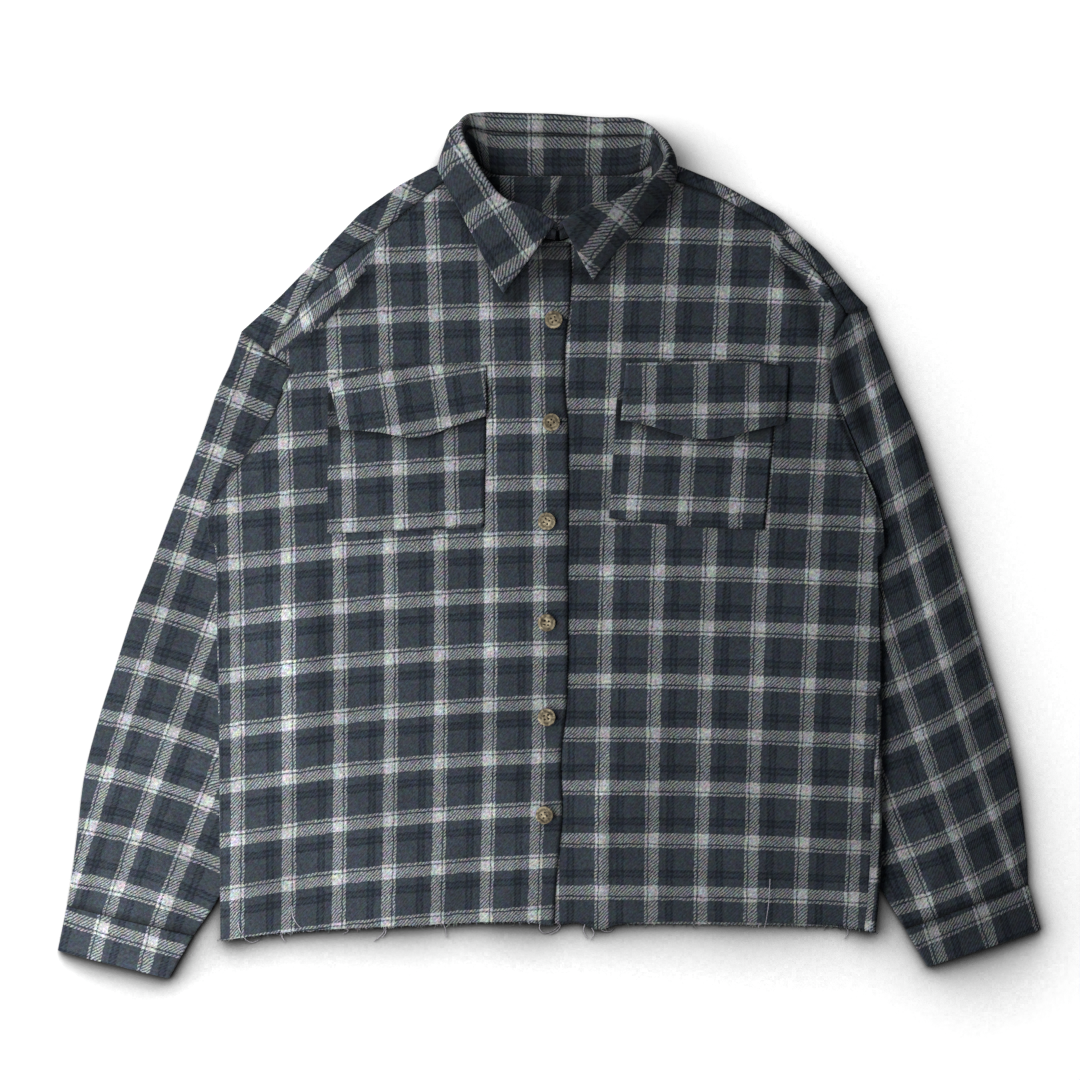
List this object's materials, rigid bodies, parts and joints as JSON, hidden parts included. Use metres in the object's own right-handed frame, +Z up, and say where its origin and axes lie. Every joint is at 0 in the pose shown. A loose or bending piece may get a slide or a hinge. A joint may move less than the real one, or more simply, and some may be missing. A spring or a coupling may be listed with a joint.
{
  "type": "flannel shirt",
  "caption": "Long-sleeved plaid flannel shirt with a point collar, flapped chest pockets and a buttoned front, lying flat on its back.",
  "frame": {"origin": "on the surface the shirt lies on, under the middle of its outline", "axes": "+X to the viewer's right across the body, +Y from the hem to the collar, +Z up off the surface, towards the fronts"},
  "size_m": [0.847, 0.7452, 0.0229],
  "materials": {
    "flannel": "brushed cotton twill in a slate, navy and off-white check",
    "horn_button": "mottled tan resin, satin, with a raised rim"
  },
  "bodies": {
    "root": {"back": "flannel", "yoke": "flannel", "front_right": "flannel", "front_left": "flannel", "sleeve_right": "flannel", "sleeve_left": "flannel", "cuff_right": "flannel", "cuff_left": "flannel", "collar_stand": "flannel", "collar_fall": "flannel", "pocket_right": "flannel", "pocket_left": "flannel", "flap_right": "flannel", "flap_left": "flannel", "button_1": "horn_button", "button_2": "horn_button", "button_3": "horn_button", "button_4": "horn_button", "button_5": "horn_button", "button_6": "horn_button"}
  },
  "joints": []
}
